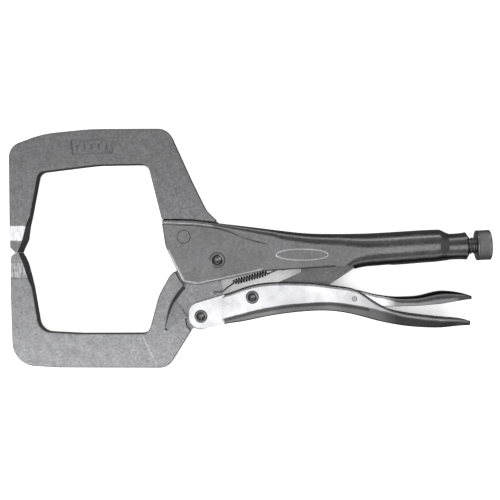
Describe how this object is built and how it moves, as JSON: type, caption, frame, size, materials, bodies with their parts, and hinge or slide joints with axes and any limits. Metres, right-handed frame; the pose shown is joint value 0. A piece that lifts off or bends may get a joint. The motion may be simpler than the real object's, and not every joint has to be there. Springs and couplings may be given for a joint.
{
  "type": "locking pliers",
  "caption": "Locking C-clamp pliers with deep U-shaped forged jaws, toggle link, release lever and a knurled adjusting screw.",
  "frame": {"origin": "centre of the fixed jaw's gripping face, where the two jaw tips meet", "axes": "the tool lies flat: +X towards the adjusting knob, +Y from the moving jaw to the fixed jaw, +Z across the thickness; -Y is the fixed gripping face's normal"},
  "size_m": [0.2809, 0.1389, 0.0204],
  "materials": {
    "handle_steel": "satin nickel-plated sheet steel",
    "fixed_forging": "blasted and plated forging, fine grain",
    "moving_forging": "blasted and plated forging, fine grain",
    "polished_steel": "bright plated sheet steel",
    "link_steel": "dull punched steel bar",
    "lever_steel": "plated sheet steel",
    "screw_steel": "turned and knurled plated steel",
    "rivet_steel": "plated rivet",
    "spring_steel": "oiled spring wire"
  },
  "bodies": {
    "frame": {"upper_handle": "handle_steel", "fixed_jaw": "fixed_forging", "jaw_locating_rivet": "handle_steel", "main_pivot_rivet": "rivet_steel", "jaw_spring": "spring_steel"},
    "moving_jaw": {"moving_jaw": "moving_forging"},
    "lower_handle": {"lower_handle": "polished_steel", "handle_pivot_rivet": "rivet_steel", "link_rivet": "rivet_steel", "release_lever_pin": "rivet_steel"},
    "toggle_link": {"toggle_link": "link_steel"},
    "release_lever": {"release_lever": "lever_steel"},
    "adjusting_screw": {"adjusting_screw": "screw_steel"}
  },
  "joints": [
    {"name": "jaw_swing", "type": "hinge", "parent": "frame", "child": "moving_jaw", "pos_m": [0.1155, -0.0043, 0], "axis": [0, 0, 1], "range_deg": [0, 30], "deforming": ["jaw_spring"]},
    {"name": "handle_swing", "type": "hinge", "parent": "moving_jaw", "child": "lower_handle", "pos_m": [0.106, -0.037, 0], "axis": [0, 0, 1], "range_deg": [-84, 0]},
    {"name": "link_swing", "type": "hinge", "parent": "lower_handle", "child": "toggle_link", "pos_m": [0.1358, -0.0259, 0], "axis": [0, 0, 1], "range_deg": [0, 81]},
    {"name": "release_swing", "type": "hinge", "parent": "lower_handle", "child": "release_lever", "pos_m": [0.1948, -0.0267, 0], "axis": [0, 0, 1], "range_deg": [-7, 0]},
    {"name": "screw_travel", "type": "slide", "parent": "frame", "child": "adjusting_screw", "axis": [0.9987, 0.0506, 0], "range_m": [0, 0.025]}
  ],
  "couplings": [
    {"joint": "handle_swing", "follows": "jaw_swing", "ratio": -2.8},
    {"joint": "link_swing", "follows": "jaw_swing", "ratio": 2.7}
  ]
}
